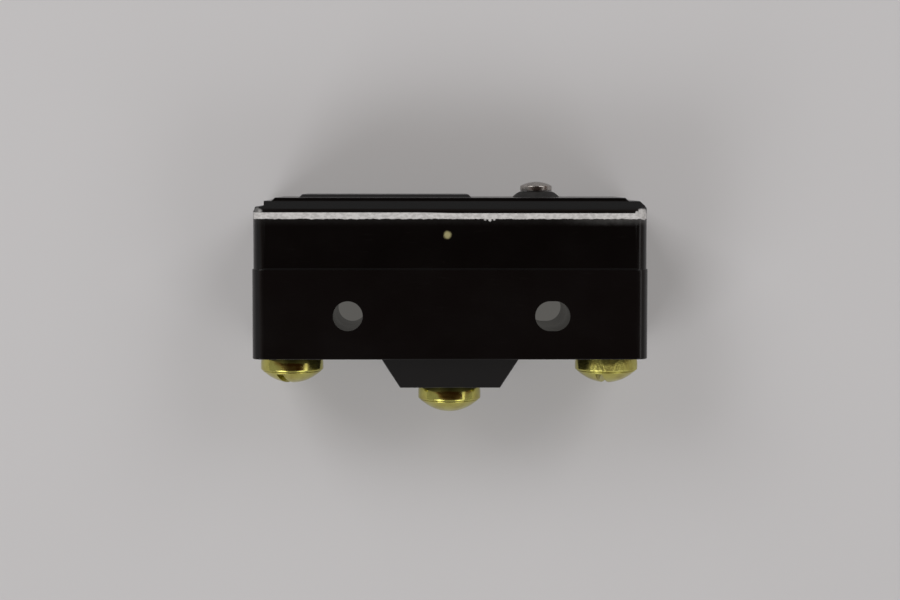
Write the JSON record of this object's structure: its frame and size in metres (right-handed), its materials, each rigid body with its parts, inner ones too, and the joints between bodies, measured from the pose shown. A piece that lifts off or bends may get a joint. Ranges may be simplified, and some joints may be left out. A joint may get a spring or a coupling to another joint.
{
  "type": "micro switch",
  "caption": "Large basic snap-action switch in a black two-part moulded housing, with a rubber-sealed pin plunger on top and slotted screw terminals with cup washers below.",
  "frame": {"origin": "midway between the two mounting holes, on the mounting face that the switch lies on", "axes": "+X along the length towards the plunger end, +Y along the plunger away from the terminals, +Z out of the mounting face through the mounting holes"},
  "size_m": [0.0492, 0.0294, 0.0175],
  "materials": {
    "phenolic": "moulded black phenolic, satin",
    "rubber": "matt black rubber",
    "bright_brass": "bright turned brass",
    "plain_brass": "plain brass",
    "spring_copper": "heat-treated spring copper",
    "contact_silver": "silver contact metal",
    "stainless": "turned stainless steel",
    "foot_moulding": "moulded brown phenolic",
    "zinc_steel": "zinc-plated steel"
  },
  "bodies": {
    "housing": {"case": "phenolic", "cover": "phenolic", "cover_screws": "zinc_steel", "boot_seal": "rubber", "guide_bush": "plain_brass", "nc_insert": "plain_brass", "no_insert": "plain_brass", "com_insert": "plain_brass", "com_anchor": "plain_brass", "blade_clamp": "plain_brass", "clamp_rivets": "plain_brass", "no_strap": "plain_brass", "no_contact": "contact_silver", "nc_bracket": "plain_brass", "nc_contact": "contact_silver"},
    "plunger": {"plunger_pin": "stainless", "plunger_foot": "foot_moulding"},
    "contact_arm": {"snap_blade": "spring_copper", "moving_contact": "contact_silver"},
    "nc_cup": {"nc_washer": "bright_brass"},
    "nc_fastener": {"nc_screw": "bright_brass"},
    "no_cup": {"no_washer": "bright_brass"},
    "no_fastener": {"no_screw": "bright_brass"},
    "com_cup": {"com_washer": "bright_brass"},
    "com_fastener": {"com_screw": "bright_brass"}
  },
  "joints": [
    {"name": "plunger_travel", "type": "slide", "parent": "housing", "child": "plunger", "axis": [0, -1, 0], "range_m": [0, 0.0005], "stiffness_N_per_m": 5000, "springref_m": -0.0001, "deforming": ["boot_seal"]},
    {"name": "contact_snap", "type": "hinge", "parent": "housing", "child": "contact_arm", "pos_m": [0.0143, 0.00668, 0.00875], "axis": [0, 0, 1], "range_deg": [0, 1.01], "deforming": ["snap_blade"]},
    {"name": "nc_clamp_travel", "type": "slide", "parent": "housing", "child": "nc_cup", "axis": [0, -1, 0], "range_m": [0, 0.00238]},
    {"name": "nc_screw_turn", "type": "hinge", "parent": "nc_cup", "child": "nc_fastener", "pos_m": [-0.02015, -0.0075, 0.00875], "axis": [0, -1, 0], "range_deg": [0, 1080]},
    {"name": "no_clamp_travel", "type": "slide", "parent": "housing", "child": "no_cup", "axis": [0, -1, 0], "range_m": [0, 0.00238]},
    {"name": "no_screw_turn", "type": "hinge", "parent": "no_cup", "child": "no_fastener", "pos_m": [0, -0.0111, 0.00875], "axis": [0, -1, 0], "range_deg": [0, 1080]},
    {"name": "com_clamp_travel", "type": "slide", "parent": "housing", "child": "com_cup", "axis": [0, -1, 0], "range_m": [0, 0.00238]},
    {"name": "com_screw_turn", "type": "hinge", "parent": "com_cup", "child": "com_fastener", "pos_m": [0.02015, -0.0075, 0.00875], "axis": [0, -1, 0], "range_deg": [0, 1080]}
  ],
  "couplings": [
    {"joint": "contact_snap", "follows": "plunger_travel", "rad_per_m": 35.08},
    {"joint": "nc_screw_turn", "follows": "nc_clamp_travel", "rad_per_m": 7915.8},
    {"joint": "no_screw_turn", "follows": "no_clamp_travel", "rad_per_m": 7915.8},
    {"joint": "com_screw_turn", "follows": "com_clamp_travel", "rad_per_m": 7915.8}
  ]
}
